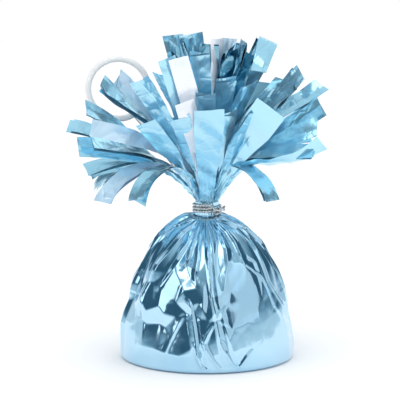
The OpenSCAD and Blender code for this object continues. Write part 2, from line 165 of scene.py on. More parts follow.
def silver_cord():
    """Metallic thread twisted in a fine cord."""
    cord = Surface("silver_cord", Metallic=0.85)
    grains = cord.noise(1500.0, 2.0)
    cord.vary("Base Color", grains, [(0.3, (0.42, 0.39, 0.36)), (0.6, (0.84, 0.83, 0.82))])
    cord.vary("Roughness", grains, [(0.3, 0.2), (0.8, 0.42)])
    cord.bump(grains, 0.4, 0.0001)
    return cord.mat


def clear_plastic(name, tint, rough, through, scale, shine):
    """Clear plastic with a slightly cloudy, rubbed surface."""
    clear = Surface(name, Transmission_Weight=through, IOR=1.49, Specular_IOR_Level=shine)
    cloud = clear.noise(scale, 3.0)
    clear.vary("Base Color", cloud, [(0.35, tint), (0.7, (0.97, 0.98, 0.98))])
    clear.vary("Roughness", cloud, [(0.3, rough), (0.75, rough * 2.2)])
    clear.bump(cloud, 0.15, 0.0002)
    return clear.mat


def matt(name, low, high, rough, scale, bumps):
    """Matt moulded plastic, or packed grains where the bumps are strong."""
    plain = Surface(name, Roughness=rough)
    grain = plain.noise(scale, 5.0)
    plain.vary("Base Color", grain, [(0.35, low), (0.65, high)])
    plain.bump(grain, bumps, 0.0003)
    return plain.mat


CORD = silver_cord()
RING = clear_plastic("clear_ring", (0.97, 0.98, 0.98), 0.25, 0.2, 90.0, 0.2)
FILM = clear_plastic("clear_film", (0.90, 0.94, 0.96), 0.06, 0.92, 200.0, 0.5)
CUP = matt("cup_plastic", (0.80, 0.81, 0.82), (0.90, 0.90, 0.90), 0.45, 300.0, 0.1)
SAND = matt("sand", (0.42, 0.31, 0.19), (0.78, 0.66, 0.48), 0.9, 1800.0, 0.8)


# mesh helpers
def make_mesh(name, points, faces, material):
    mesh = bpy.data.meshes.new(name)
    mesh.from_pydata((np.asarray(points, float) * MM).tolist(), [], faces)
    mesh.validate()
    mesh.materials.append(material)
    mesh.polygons.foreach_set("use_smooth", [True] * len(mesh.polygons))
    mesh.update()
    obj = bpy.data.objects.new(name, mesh)
    scene.collection.objects.link(obj)
    return obj


def grid_faces(rows, columns, closed=False, start=0):
    faces = []
    for i in range(rows - 1):
        for j in range(columns if closed else columns - 1):
            k = (j + 1) % columns
            a, b = start + i * columns, start + (i + 1) * columns
            faces.append((a + j, a + k, b + k, b + j))
    return faces


def solidify(obj, thickness):
    mod = obj.modifiers.new("film", "SOLIDIFY")
    mod.thickness = thickness * MM
    mod.offset = 0.0
    mod.use_even_offset = False
    graph = bpy.context.evaluated_depsgraph_get()
    mesh = bpy.data.meshes.new_from_object(obj.evaluated_get(graph))
    obj.modifiers.clear()
    obj.data = mesh
    obj.data.set_sharp_from_angle(angle=math.radians(55))


def merge_close(obj, distance):
    work = bmesh.new()
    work.from_mesh(obj.data)
    bmesh.ops.remove_doubles(work, verts=work.verts, dist=distance * MM)
    work.to_mesh(obj.data)
    work.free()


def gather(points, faces, rows):
    """Adds a grid of points to a mesh in the making."""
    faces += grid_faces(*rows.shape[:2], start=sum(len(p) for p in points))
    points.append(rows.reshape(-1, 3))


def limited(x):
    """Held between 0 and 1."""
    return np.clip(x, 0, 1)


def unit(v):
    return v / np.maximum(np.linalg.norm(v, axis=-1, keepdims=True), 1e-9)


def triangle_wave(x):
    """From -1 to 1 and back with sharp turns, once per unit."""
    return 4 * np.abs(x - np.floor(x + 0.5)) - 1


def lengths(points):
    """Length along a line of points, at each of them."""
    return np.concatenate([[0], np.cumsum(np.linalg.norm(np.diff(points, axis=0), axis=1))])


# wrap
UNDER_R = (0.6, 4, 9, 14, 19, 24, 28, BASE_R - EDGE_R)
UNDER = len(UNDER_R)


def dome_radius(z):
    return NECK_R + (BASE_R - NECK_R) * (1 - (z / SHOULDER_Z) ** 2) ** SIDE_POWER


SIDE_POINTS, NECK_POINTS = 260, 12


def wrap_outline():
    """Radius and height of the film, from the middle of the underside to the top of the neck."""
    under = [(r, WRAP_Z) for r in UNDER_R]
    edge = [
        (BASE_R - EDGE_R + EDGE_R * math.sin(a), WRAP_Z + (EDGE_R - WRAP_Z) * (1 - math.cos(a)))
        for a in np.radians(np.arange(15, 90, 15))
    ]
    z = EDGE_R + (SHOULDER_Z - EDGE_R) * np.sin(np.linspace(0, np.pi / 2, SIDE_POINTS))
    side = [(dome_radius(h), h) for h in z[:-1]]
    neck = [(NECK_R, SHOULDER_Z + h) for h in np.linspace(0, NECK_H, NECK_POINTS)]
    return np.array(under + edge + side + neck)


OUTLINE = wrap_outline()
ALONG = lengths(OUTLINE)


def along(z):
    """Length along the outline, where it has a height."""
    return float(np.interp(z, OUTLINE[UNDER:, 1], ALONG[UNDER:]))


FOOT, NECK, END = along(EDGE_R), along(SHOULDER_Z), float(ALONG[-1])


def at(s):
    """Radius, height and outward normal (radial, upward) of the outline at a length s along it."""
    step = 0.8
    (r, z), (r0, z0), (r1, z1) = [
        [np.interp(t, ALONG, column) for column in OUTLINE.T] for t in (s, s - step, s + step)
    ]
    size = np.hypot(r1 - r0, z1 - z0)
    return r, z, (z1 - z0) / size, -(r1 - r0) / size


def on_dome(px, py):
    """Angle from the front in degrees, and length along the outline, of a place in the photograph. Its
    height there depends on its depth, which is found in a few rounds."""
    x, ahead = (px - AXIS_X) * MM_ACROSS, 25.0
    for _ in range(12):
        z = min((FLOOR_Y - py) * MM_UP + DEPTH_RISE * ahead, SHOULDER_Z - 0.3)
        r = dome_radius(max(z, 0))
        ahead = math.sqrt(max(r * r - x * x, 0))
    return math.degrees(math.asin(max(-0.999, min(0.999, x / r)))), FOOT if z < EDGE_R else along(z)


# The film's relief is a field over the angle (columns) and the length along the outline (rows)
ACROSS, DOWN, FIELD_FOOT = 1440, 420, FOOT - 4.0
S_ROWS = np.linspace(FIELD_FOOT, END, DOWN)
S_STEP = S_ROWS[1] - S_ROWS[0]
ANGLES = np.arange(ACROSS) * 360.0 / ACROSS - 180.0
ROW_R = at(S_ROWS)[0]


def turned_from(angle):
    """Degrees from an angle to each column, the short way round."""
    return (ANGLES[None, :] - angle + 180) % 360 - 180


def cover(values, last):
    """The whole steps that cover some values, between 0 and the last."""
    return max(0, math.floor(min(values))), min(last, math.ceil(max(values)))


def facets(points):
    """A field of flat triangles between points (angle, s, height)."""
    spread = [
        (a + turn, s, h) for a, s, h in points for turn in (-360, 0, 360) if -200 < a + turn < 200
    ]
    unit_x = BASE_R * math.pi / 180
    flat = [Vector((a * unit_x, s)) for a, s, h in spread]
    verts, _, tris, origin, _, _ = delaunay_2d_cdt(flat, [], [], 0, 1e-5)
    value = [spread[o[0]][2] if o else 0.0 for o in origin]
    field = np.zeros((DOWN, ACROSS))
    step_x = unit_x * 360.0 / ACROSS
    for tri in tris:
        corners = [
            (verts[i].x / step_x + ACROSS / 2, (verts[i].y - FIELD_FOOT) / S_STEP, value[i]) for i in tri
        ]
        (ax, ay, az), (bx, by, bz), (cx, cy, cz) = corners
        x0, x1 = cover((ax, bx, cx), ACROSS - 1)
        y0, y1 = cover((ay, by, cy), DOWN - 1)
        det = (by - cy) * (ax - cx) + (cx - bx) * (ay - cy)
        if x1 < x0 or y1 < y0 or abs(det) < 1e-9:
            continue
        x, y = np.meshgrid(np.arange(x0, x1 + 1), np.arange(y0, y1 + 1))
        u = ((by - cy) * (x - cx) + (cx - bx) * (y - cy)) / det
        v = ((cy - ay) * (x - cx) + (ax - cx) * (y - cy)) / det
        w = 1 - u - v
        inside = (u >= -1e-6) & (v >= -1e-6) & (w >= -1e-6)
        part = field[y0:y1 + 1, x0:x1 + 1]
        part[inside] = (u * az + v * bz + w * cz)[inside]
    return field


def crease(line, left, right, height):
    """A ridge along a line of (angle, s, share of its height), with a left and a right flank. It
    narrows and sinks towards the neck."""
    line = sorted(line, key=lambda p: p[1])
    s = [p[1] for p in line]
    middle = np.interp(S_ROWS, s, [p[0] for p in line])
    share = np.interp(S_ROWS, s, [p[2] for p in line], left=0, right=0)
    off = np.radians(turned_from(middle[:, None])) * ROW_R[:, None]
    wide = np.where(off < 0, left, right) * (0.25 + 0.75 * limited(ROW_R / 26.0))[:, None]
    tall = height * share * (0.45 + 0.55 * limited(ROW_R / 12.0))
    return tall[:, None] * np.maximum(0, 1 - np.abs(off) / wide) ** 1.35


rng = np.random.default_rng(11)
# How far a scattered point may stray from its place in even rows, as a share of the gap
JITTER = 0.35


def random_points(gap, low, high, size):
    """Scattered points (angle, s, height), with about gap millimetres between neighbours."""
    out = []
    rows = np.arange(low, high, gap * 0.9)
    for i, s in enumerate(rows):
        count = max(10, int(2 * math.pi * max(6.0, float(at(s)[0])) / gap))
        for k in range(count):
            a = 360.0 * (k + 0.5 * (i % 2) + rng.uniform(-JITTER, JITTER)) / count - 180.0
            out.append((a, s + rng.uniform(-JITTER, JITTER) * gap, rng.uniform(-1, 1) * size))
    return out


# The main relief, as in part.scad: bulges and dents with an angle to the right of the front, a share of
# the shoulder's height and a share of the pleats' depth, and regular pleats
PLEATS, PLEAT_DEPTH, DENT_REACH = 17, 0.9, 0.3 * BASE_R
DENTS = [
    (-16, 0.14, 1.4), (-38, 0.15, 0.9), (14, 0.15, 1), (-4, 0.25, 0.9), (-42, 0.33, -0.8),
    (8, 0.36, -0.8), (-13, 0.42, -0.9), (-35, 0.44, 1.3), (17, 0.47, -0.7), (-19, 0.56, 1.2),
    (-14, 0.66, -0.8), (8, 0.66, -0.8), (-52, 0.55, 0.7), (30, 0.7, 0.7), (48, 0.62, -0.7),
    (58, 0.38, 0.9), (70, 0.66, 0.8), (84, 0.3, -0.8), (96, 0.52, 1.1), (112, 0.2, 0.9),
    (120, 0.62, -0.8), (138, 0.4, 1.1), (150, 0.68, 0.8), (160, 0.22, -0.7), (176, 0.5, 1),
    (-168, 0.3, 0.9), (-156, 0.6, -0.8), (-142, 0.42, 1.1), (-128, 0.2, -0.7), (-118, 0.64, 0.9),
    (-104, 0.4, -0.8), (-90, 0.56, 1.1), (-78, 0.26, 0.9), (-66, 0.46, -0.8),
]


def main_relief():
    """The CAD wrap's bulges, dents and pleats on the field."""
    z = at(S_ROWS)[1][:, None]
    field = np.zeros((DOWN, ACROSS))
    for angle, share, depth in DENTS:
        arc = np.radians(turned_from(angle)) * ROW_R[:, None]
        field += depth * np.maximum(0, 1 - np.hypot(arc, z - share * SHOULDER_Z) / DENT_REACH)
    field *= PLEAT_DEPTH * limited(z / DENT_REACH)
    count = PLEATS * 3
    step = np.arange(count)
    spot = 360 / count * (step + 0.28 * np.sin(np.radians(137.0 * step)))
    share = np.array([0, 1, 0.45])[step % 3] * (0.72 + 0.28 * np.sin(np.radians(83.0 * (step // 3))))
    fold = np.interp((ANGLES + 270) % 360, spot, share, period=360)
    rise = np.sin(np.radians(np.minimum(90, 110 * np.clip(z, 0, None) / SHOULDER_Z)))
    return field, PLEAT_DEPTH * (0.25 + 0.75 * rise) * fold[None, :]


# Corners of the folded facets that show at the front: places in the photograph, with a height in
# millimetres that is drawn lower, and lower still at the right, where the panels are calm
FRONT_SHARE, RIGHT_SHARE, RIGHT_FROM = 0.85, 0.7, 228
FRONT_POINTS = [
    (143, 319, -0.6), (147, 309, 0.5), (160, 304, 1.3), (164, 311, 1), (162, 317, -0.1), (162, 288, 0.5),
    (184, 289, 1.2), (176, 300, 0), (152, 297, -0.3), (145, 321, -0.9), (160, 321, -0.8), (154, 346, 0.9),
    (143, 344, 0.7), (161, 342, 0.5), (166, 324, -0.2), (176, 314, 0), (190, 303, 0.2), (186, 310, -0.9),
    (191, 312, -0.8), (170, 351, 1.2), (180, 353, 1.4), (193, 352, 1.1), (172, 336, 0), (133, 285, 0.5),
    (141, 282, -0.5), (149, 270, 0.6), (153, 281, -0.6), (140, 297, 0.4), (131, 300, 0), (128, 326, 0),
    (134, 346, 0), (176, 268, 0.5), (190, 276, -0.8), (199, 271, 0.3), (186, 263, -0.6), (197, 286, 0.5),
    (182, 283, 0.5), (216, 276, -0.8), (224, 284, 0.5), (230, 289, -0.3), (221, 294, 0.4), (229, 300, -0.7),
    (222, 302, 0.1), (224, 309, -0.5), (232, 326, 0.7), (240, 331, 0.2), (241, 300, 0.1), (250, 320, 0.12),
    (246, 345, 0.1), (262, 300, 0.1), (264, 340, 0.1), (276, 330, 0.1), (280, 350, 0.1), (258, 362, 0.05),
    (236, 363, 0.1), (208, 318, 0.2), (215, 319, -0.3), (204, 332, 0.4), (199, 340, 0.9), (207, 343, 0.3),
    (209, 354, 0.6), (219, 318, -0.8), (226, 349, 0.9), (219, 361, 0.2), (212, 366, 0), (198, 363, 0.1),
    (180, 364, 0), (218, 232, 0.4), (222, 245, 0.5), (217, 256, -0.4), (226, 262, 0.2), (234, 252, -0.3),
    (246, 262, 0.1), (253, 262, -0.4), (257, 259, 0.4), (206, 256, 0), (200, 300, 0.2), (208, 296, -0.3),
    (162, 364, 0), (290, 322, 0), (288, 345, 0), (150, 360, 0), (132, 360, 0), (272, 312, 0),
    (286, 300, 0),
]
# Pleats at the front: places in the photograph with a share of the height, the widths of the left and
# right flanks and the height of the ridge in millimetres. Those that start above NECK_ROW in the
# photograph come out of the tie.
NECK_ROW = 224
FRONT_PLEATS = [
    ([(196, 219, 1), (175, 228, 1), (157, 246, 1), (141, 271, 0.8), (133, 292, 0.3)], 3.0, 1.5, 0.8),
    ([(198, 220, 1), (183, 233, 1), (169, 250, 1), (157, 264, 0.9), (143, 293, 0.6), (139, 315, 0)],
        3.6, 1.3, 1.0),
    ([(199, 221, 1), (189, 240, 1), (177, 259, 0.9), (163, 280, 0.6), (157, 290, 0)], 3.0, 1.4, 0.9),
    ([(201, 222, 1), (195, 238, 1), (190, 252, 0.9), (184, 264, 0.4), (181, 270, 0)], 2.8, 1.1, 0.9),
    ([(203, 222, 1), (199, 240, 1), (198, 256, 0.9), (195, 275, 0.7), (197, 286, 0)], 2.2, 1.6, 0.8),
    ([(206, 222, 1), (207, 240, 1), (208, 263, 1), (211, 290, 0.8), (215, 310, 1), (219, 335, 0.9),
        (224, 362, 0.5)], 1.4, 2.6, 1.0),
    ([(209, 222, 1), (212, 240, 1), (214, 263, 1), (216, 285, 0.8), (218, 300, 0.6), (226, 330, 0.5),
        (236, 360, 0.3)], 1.3, 2.2, 0.8),
    ([(212, 221, 1), (219, 233, 1), (225, 248, 1), (227, 262, 0.6), (226, 272, 0)], 1.4, 2.8, 0.9),
    ([(215, 221, 1), (226, 230, 1), (234, 241, 1), (243, 262, 0.6), (247, 275, 0)], 1.3, 3.2, 0.8),
    ([(217, 220, 1), (237, 228, 1), (249, 240, 0.9), (259, 258, 0.7), (268, 280, 0.5), (281, 304, 0.8),
        (289, 325, 0.4), (291, 340, 0)], 1.2, 2.0, 0.9),
    ([(219, 219, 1), (246, 228, 1), (264, 246, 1), (279, 273, 0.9), (288, 300, 0.6), (293, 322, 0)],
        1.3, 3.4, 1.0),
    ([(244, 262, 0), (251, 267, 0.6), (262, 276, 0.8), (268, 288, 0.8), (274, 304, 0.7), (286, 326, 0.5),
        (288, 332, 0)], 1.6, 1.1, 0.7),
    ([(189, 296, 0), (191, 305, 1), (194, 325, 1), (198, 350, 0.9), (202, 371, 0.6)], 2.6, 1.3, 0.9),
    ([(203, 280, 0), (203, 300, 0.7), (200, 318, 0.5), (204, 345, 0.8), (208, 370, 0.5)], 1.4, 2.0, 0.7),
    ([(186, 306, 0), (179, 320, 0.6), (171, 338, 1), (166, 352, 0.6), (165, 360, 0)], 2.4, 1.2, 0.6),
    ([(236, 262, 0), (238, 290, 0.6), (243, 325, 0.5), (247, 360, 0.5), (248, 370, 0.2)], 4.0, 4.5, 0.25),
    ([(250, 285, 0), (257, 310, 0.7), (263, 345, 0.6), (266, 368, 0.3)], 3.6, 4.0, 0.25),
    ([(215, 318, 0), (208, 330, 1), (203, 341, 0.8), (203, 344, 0)], 1.3, 1.3, 0.6),
    ([(202, 338, 0), (206, 346, 1), (212, 356, 1), (218, 367, 0.9), (220, 373, 0.6)], 1.2, 1.4, 0.8),
    ([(194, 338, 0), (197, 352, 1), (201, 362, 1), (206, 372, 0.8)], 1.2, 1.4, 0.8),
    ([(220, 338, 0), (225, 350, 1), (231, 360, 1), (238, 371, 0.7)], 1.2, 1.4, 0.7),
    ([(252, 346, 0), (246, 353, 1), (240, 362, 0.9), (237, 370, 0.3)], 1.3, 1.1, 0.55),
]


def soften(field, times):
    """Rounds a field's creases a little."""
    for _ in range(times):
        field = (np.roll(field, 1, 1) + 2 * field + np.roll(field, -1, 1)) / 4
        field[1:-1] = (field[:-2] + 2 * field[1:-1] + field[2:]) / 4
    return field


# How far the front that is drawn from the photograph goes to each side, in degrees, and the height below
# the tie over which the film gathers
FRONT_TO, GATHER_H = 62.0, 3.5


def relief():
    """The facets, the pleats and creases over them, and the gathers at the tie."""
    dent = [
        (*on_dome(x, y), h * (RIGHT_SHARE if x > RIGHT_FROM else FRONT_SHARE)) for x, y, h in FRONT_POINTS
    ]
    rough = [
        p for p in random_points(8.5, FOOT - 2, NECK - 3, 0.8)
        if all(math.hypot((p[0] - a) * 0.5, p[1] - s) > 6.0 for a, s, h in dent) and abs(p[0]) > FRONT_TO
    ]
    # The lower band all round is nearly smooth
    calm = [(a, s, h * min(1.0, max(0.1, (s - FOOT - 4) / 14.0))) for a, s, h in rough]
    rim = [(a, s, 0.0) for s in (FOOT - 6, END + 2) for a in np.arange(-180, 180, 12.0)]
    # Round the sides and the back the main relief lies under the facets; in front they stand for it
    main, folds = main_relief()
    beside = limited((np.abs(ANGLES) - FRONT_TO + 10) / 16)[None, :]
    field = soften(facets(dent + calm + rim), 9)
    field += (main - folds) * beside - 0.3 * (1 - beside)
    field += soften(facets(random_points(4.6, FOOT, NECK - 1, 0.06) + rim), 4)
    for line, left, right, height in FRONT_PLEATS:
        path = [(*on_dome(x, y), share) for x, y, share in line]
        if line[0][1] < NECK_ROW:
            path = [(path[0][0], NECK, 1.0)] + path
        field += crease(path, left, right, height)
    # Creases round the sides and the back: some run down to the base, some die out
    angle, last = FRONT_TO + 12, 348 - FRONT_TO
    while angle < last:
        length = rng.choice([0.4, 0.55, 0.75, 1.0])
        stop = NECK - length * (NECK - FOOT)
        bend = rng.uniform(-8, 8)
        path = [(angle, NECK, 1.0), (angle + bend * 0.3, (NECK + stop) / 2 + 8, 1.0),
                (angle + bend, stop + 4, 0.7), (angle + bend * 1.3, stop, 0.0)]
        left, right = rng.uniform(1.2, 3.4), rng.uniform(1.2, 3.4)
        field += crease(path, left, right, rng.uniform(0.6, 1.0))
        angle += rng.uniform(6.0, 10.0)
    # Tight gathers where the tie holds the film, which lies close round the neck
    turns = np.radians(ANGLES)[None, :]
    near = limited((S_ROWS - (NECK - GATHER_H)) / GATHER_H)[:, None]
    folded = 0.5 * triangle_wave(turns * 27 / (2 * np.pi) + 0.15 * np.sin(5 * turns))
    folded = folded + 0.3 * triangle_wave(turns * 11 / (2 * np.pi) + 0.4)
    free = limited((NECK - 0.4 - S_ROWS) / 4.0)[:, None]
    field = field * free + near * (folded * 0.24 - 0.22)
    return np.clip(field, -1.5, 2.0)


FIELD = relief()


def lift(angle, s):
    """The relief at any angle (degrees) and s, between the field's points."""
    x = (np.asarray(angle) + 180.0) / 360.0 * ACROSS
    y = np.clip((np.asarray(s) - FIELD_FOOT) / S_STEP, 0, DOWN - 1.001)
    x0, y0 = np.floor(x).astype(int), np.floor(y).astype(int)
    fx, fy = x - x0, y - y0
    a, b = FIELD[y0, x0 % ACROSS], FIELD[y0, (x0 + 1) % ACROSS]
    c, d = FIELD[y0 + 1, x0 % ACROSS], FIELD[y0 + 1, (x0 + 1) % ACROSS]
    value = (a * (1 - fx) + b * fx) * (1 - fy) + (c * (1 - fx) + d * fx) * fy
    return np.where(np.asarray(s) < FIELD_FOOT, 0.0, value)


def wrap_points(angle, s):
    r, z, nr, nz = at(s)
    off = lift(angle, s) * limited((s - FIELD_FOOT) / 5.0)
    a = np.radians(angle)
    rr = r + nr * off
    return np.stack([rr * np.sin(a), -rr * np.cos(a), np.maximum(z + nz * off, WRAP_Z)], axis=-1)


def build_wrap():
    """The film from a point under the middle of the base to the neck, with a finer mesh in front."""
    edge = np.linspace(ALONG[UNDER], FOOT, 6)[:-1]
    rows = np.concatenate([ALONG[:UNDER], edge, np.arange(FOOT, END, 0.33), [END]])
    front, step, fine_step = 66, 0.75, 0.4
    angles = np.concatenate([
        np.arange(-180, -front, step), np.arange(-front, front, fine_step), np.arange(front, 180, step)])
    s, a = np.meshgrid(rows, angles, indexing="ij")
    points = wrap_points(a, s).reshape(-1, 3)
    count, around = len(points), len(angles)
    faces = grid_faces(len(rows), around, closed=True)
    points = np.concatenate([points, [[0, 0, WRAP_Z]]])
    faces += [(count, (j + 1) % around, j) for j in range(around)]
    obj = make_mesh("wrap_film", points, faces, FOIL)
    solidify(obj, WRAP_T)
    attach(obj, "weight")
    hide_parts("foil_wrap")
    return obj


wrap = build_wrap()

# fringe
# The tufts' tables, as in part.scad: tier, root angle, angle between strips, and for each strip the
# x, y and height of its tip as shares of the fringe's length, its slope and its twist, and for a strip
# that folds over at its tip the length that hangs down, as a share too
TUFTS = {
    "fringe_left": (0, 194, 8, [(-0.65, 0, 0.17, -20, -45), (-0.69, -0.05, 0.3, 2, -55),
        (-0.74, -0.1, 0.42, 12, -50), (-0.64, -0.17, 0.53, 25, -40)]),
    "fringe_left_low": (0, 231, 9, [(-0.6, -0.33, 0.365, 10, -40), (-0.55, -0.38, 0.055, -60, -20),
        (-0.37, -0.44, 0.075, -80, 0), (-0.32, -0.48, 0.485, 40, 30)]),
    "fringe_front": (0, 269, 12, [(-0.14, -0.4, 0.51, 50, 15), (-0.01, -0.42, 0.62, 60, 0),
        (0.11, -0.4, 0.53, 50, 15)]),
    "fringe_right_low": (0, 307, 9, [(0.27, -0.43, 0.53, 42, 10), (0.36, -0.42, 0.55, 40, 0),
        (0.34, -0.38, 0.06, -70, 0), (0.56, -0.32, 0.32, 8, 40)]),
    "fringe_right": (0, 345, 9, [(0.585, -0.098, 0.42, 22, 60), (0.615, 0, 0.51, 35, 60),
        (0.545, 0.078, 0.47, 30, 54), (0.554, 0.185, 0.34, 5, 36)]),
    "fringe_back_right": (0, 23, 9, [(0.54, 0.28, 0.26, 0, 30), (0.48, 0.38, 0.15, -25, 10),
        (0.38, 0.47, 0.32, 10, 20), (0.3, 0.52, 0.19, -20, 0)]),
    "fringe_back": (0, 61, 9, [(0.2, 0.56, 0.3, 0, 0), (0.11, 0.602, 0.15, -30, 0),
        (0.029, 0.601, 0.23, -10, 10), (-0.061, 0.598, 0.07, -50, 0)]),
    "fringe_back_left": (0, 165, 6, [(-0.571, 0.19, 0, -70, 0), (-0.616, 0.169, 0.05, -55, -10),
        (-0.594, 0.122, 0.08, -45, -20), (-0.633, 0.088, 0.14, -30, -35)]),
    "fringe_mid_left": (1, 186, 17, [(-0.56, -0.06, 0.655, 42, -45), (-0.47, -0.15, 0.685, 45, -40),
        (-0.36, -0.22, 0.675, 52, 45)]),
    "fringe_mid_front_left": (1, 242, 17, [(-0.24, -0.32, 0.72, 55, 0), (-0.14, -0.34, 0.78, 62, 0),
        (-0.04, -0.28, 0.83, 70, 0)]),
    "fringe_mid_front_right": (1, 298, 17, [(0.1, -0.3, 0.7, 60, 0), (0.22, -0.32, 0.66, 52, 10),
        (0.32, -0.28, 0.63, 45, 15)]),
    "fringe_mid_right": (1, 354, 17, [(0.46, -0.16, 0.64, 45, 35), (0.5, -0.02, 0.7, 50, 50),
        (0.62, 0.08, 0.62, 35, 50)]),
    "fringe_mid_back": (1, 50, 17, [(0.42, 0.24, 0.63, 45, 30), (0.3, 0.34, 0.61, 45, 10),
        (0.16, 0.4, 0.64, 50, 0)]),
    "fringe_top_left": (2, 180, 36, [(-0.073, 0.147, 0.86, 75, 16), (-0.174, 0.054, 0.88, 80, -24),
        (-0.127, -0.063, 0.87, 75, -16)]),
    "fringe_top_middle": (2, 300, 36, [(0.01, -0.14, 0.85, 80, 0), (0.12, -0.12, 0.84, 75, 10),
        (0.2, -0.05, 0.86, 75, 30)]),
    "fringe_top_right": (2, 60, 36, [(0.316, 0.058, 0.83, 65, 70, 0.18), (0.169, 0.15, 0.83, 75, 16),
        (0.05, 0.216, 0.83, 80, 0)]),
}


def curve(p, a, b, q, t):
    t = np.asarray(t, float)[..., None]
    return p * (1 - t) ** 3 + a * 3 * t * (1 - t) ** 2 + b * 3 * t * t * (1 - t) + q * t ** 3


def heading(degrees):
    a = math.radians(degrees)
    return np.array([math.cos(a), math.sin(a)])


class Tuft:
    """The surface of one tuft, with the same curves as its CAD node."""

    def __init__(self, tier, angle, step, strips):
        self.strips = [np.array(s, float) for s in strips]
        count = len(strips)
        self.roots = [angle + step * (k - (count - 1) / 2) for k in range(count)]
        self.tips = []
        for s in self.strips:
            a = math.degrees(math.atan2(s[1], s[0]))
            self.tips.append(a + 360 * round((angle - a) / 360))
        reach, rise, slope = np.mean([(math.hypot(s[0], s[1]), s[2], s[3]) for s in self.strips], axis=0)
        self.p = np.array([TIER_R[tier], FRINGE_Z])
        self.q = np.array([reach * FRINGE_L, FRINGE_Z + rise * FRINGE_L])
        self.a = self.p + np.array([0, FRINGE_L * RISE_SHARES[tier]])
        self.b = self.q - heading(slope) * FRINGE_L * HANDLE_SHARE

    def profile(self, t):
        return curve(self.p, self.a, self.b, self.q, t)

    def direction(self, t):
        t = np.asarray(t, float)
        d = unit(self.profile(t + 0.01) - self.profile(t - 0.01))
        return np.where((t <= 0)[..., None], np.array([0.0, 1.0]), d)

    def middle(self, k, u):
        return self.roots[k] * (1 - u) + self.tips[k] * u

    def edge(self, k, side, u):
        a, other = self.middle(k, u), k + side
        if other < 0 or other >= len(self.strips):
            return a + (a - self.middle(k - side, u)) / 2
        return (a + self.middle(other, u)) / 2

    def uncut(self, k, u, v, off):
        """Points of the uncut film at shares u (to the cut) and v (across the strip), off the middle."""
        rz, d = self.profile(UNCUT_SHARE * u), self.direction(UNCUT_SHARE * u)
        rz = rz + np.stack([-d[..., 1], d[..., 0]], axis=-1) * off[..., None]
        left, right = self.edge(k, -1, u), self.edge(k, 1, u)
        a = np.radians(left + (right - left) * v)
        return np.stack([rz[..., 0] * np.cos(a), rz[..., 0] * np.sin(a), rz[..., 1]], axis=-1)

    def length(self):
        """Length of the longest strip of film, from the foot of the neck to its tip."""
        shares = np.linspace(0, 1, 60)
        cut = [lengths(self.line(k, shares, s))[-1] for k, s in enumerate(self.strips)]
        return NECK_H + lengths(self.profile(UNCUT_SHARE * shares))[-1] + max(cut)

    def line(self, k, u, s):
        """Points of the middle of a cut strip, whose row of the table is s, at shares u of its length."""
        c = self.uncut(k, np.array([1.0]), np.array([0.5]), np.array([0.0]))[0]
        q = s[:3] * FRINGE_L + np.array([0, 0, FRINGE_Z])
        reach = np.linalg.norm(q - c) * HANDLE_SHARE
        out, d, slope = heading(self.tips[k]), self.direction(np.array([UNCUT_SHARE]))[0], heading(s[3])
        a = c + np.array([*(out * d[0]), d[1]]) * reach
        b = q - np.array([*(out * slope[0]), slope[1]]) * reach
        return curve(c, a, b, q, u)


def creased(x, y, gap, size, draw):
    """Flat facets between straight creases in three directions."""
    out = 0
    for _ in range(3):
        a = draw(0, math.pi)
        turn = (x * math.cos(a) + y * math.sin(a)) / (gap * draw(0.8, 1.5))
        out = out + size * draw(0.5, 1.0) * triangle_wave(turn + draw(0, 1))
    return out


def laid(c, w, n, d, across, off, ends):
    """Rows of points beside a middle line: across the strip, off its face and beyond its ends."""
    rows = c[:, None, :] + w[..., None, :] * across[..., None] + n[:, None, :] * off[..., None]
    return rows + d[:, None, :] * ends[..., None]


# The mesh of a strip, and how far the layer below lies under the one above, uncut and cut
COLUMNS, UNCUT_ROWS, CUT_ROWS, LAYER_GAP, LAYER_FALL = 16, 22, 56, 0.33, 0.45


def uncut_film(tuft, k, v, layer, number, draw):
    """Rows of the uncut film, gathered at the neck and with shallow crinkles further out, and the
    crinkles of its last row."""
    u = np.linspace(0, 1, UNCUT_ROWS)[:, None]
    place = k + v
    swell = 0.3 + 1.5 * np.sin(np.pi * limited(u * 1.15)) ** 0.8
    crinkle = triangle_wave(place * 1.5 + 0.13 * number) * 0.42
    crinkle = crinkle + triangle_wave(place * 2.7 + 1.4 * u + 0.31 * number) * 0.3
    crinkle = crinkle * swell + creased(u * 32.0, place * 6.0, 5.0, 0.22, draw) * limited(3 * u)
    crinkle = crinkle - LAYER_GAP * layer * (0.6 + 0.8 * u)
    body = tuft.uncut(k, u + 0 * v, v + 0 * u, crinkle)
    stem = tuft.uncut(k, 0 * v, v, crinkle[:1])
    root = [stem - np.array([0, 0, h]) for h in np.linspace(NECK_H * 0.8, 0, 4)[:-1]]
    return np.concatenate([*root, body]), crinkle[-1]


def cut_relief(u, side, length, rough, draw):
    """How far a cut strip is off its middle plane: it bows, with a long crease, cross creases and
    small facets."""
    off = draw(-0.35, 0.45) * (side ** 2 - 0.4) * np.sin(np.pi * limited(u * 1.2))
    crease_at = draw(-0.5, 0.5)
    off = off + draw(0.05, 0.4) * (np.abs(side - crease_at) - 0.6) * limited(2 * u)
    waves, lean = draw(1.2, 2.6), draw(-0.35, 0.35)
    off = off + draw(0.1, 0.4) * triangle_wave(u * waves + lean * side + draw(0, 1)) * u
    return off + creased(u * length, side * STRIP_W / 2, 9.0, rough, draw)


